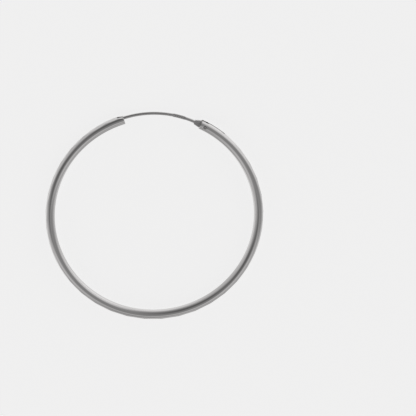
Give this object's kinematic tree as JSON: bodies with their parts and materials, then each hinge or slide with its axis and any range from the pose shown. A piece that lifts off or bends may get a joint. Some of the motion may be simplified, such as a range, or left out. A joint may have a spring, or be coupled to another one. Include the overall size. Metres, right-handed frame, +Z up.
{
  "type": "hoop earring",
  "caption": "Slim round hoop earring of diamond-cut silver tube, closed across its gap by a thin hinged ear wire.",
  "frame": {"origin": "on the floor, under the middle of the hoop's footprint", "axes": "+Z up along the hoop's axis, +Y from the middle of the hoop towards its gap and ear wire, +X towards the hinged end of the gap"},
  "size_m": [0.0448, 0.0444, 0.0022],
  "materials": {
    "diamond_cut_silver": "mirror-polished white silver with crisp diamond-cut flats",
    "wire_silver": "polished drawn wire with faint draw lines",
    "pin_silver": "peened rivet end, lightly dulled"
  },
  "bodies": {
    "hoop": {"hoop_tube": "diamond_cut_silver", "hinge_pin": "pin_silver"},
    "wire": {"ear_wire": "wire_silver"}
  },
  "joints": [
    {"name": "wire_hinge", "type": "hinge", "parent": "hoop", "child": "wire", "pos_m": [0.01023, 0.01908, 0.0011], "axis": [0, 0, -1], "range_deg": [0, 70]}
  ]
}
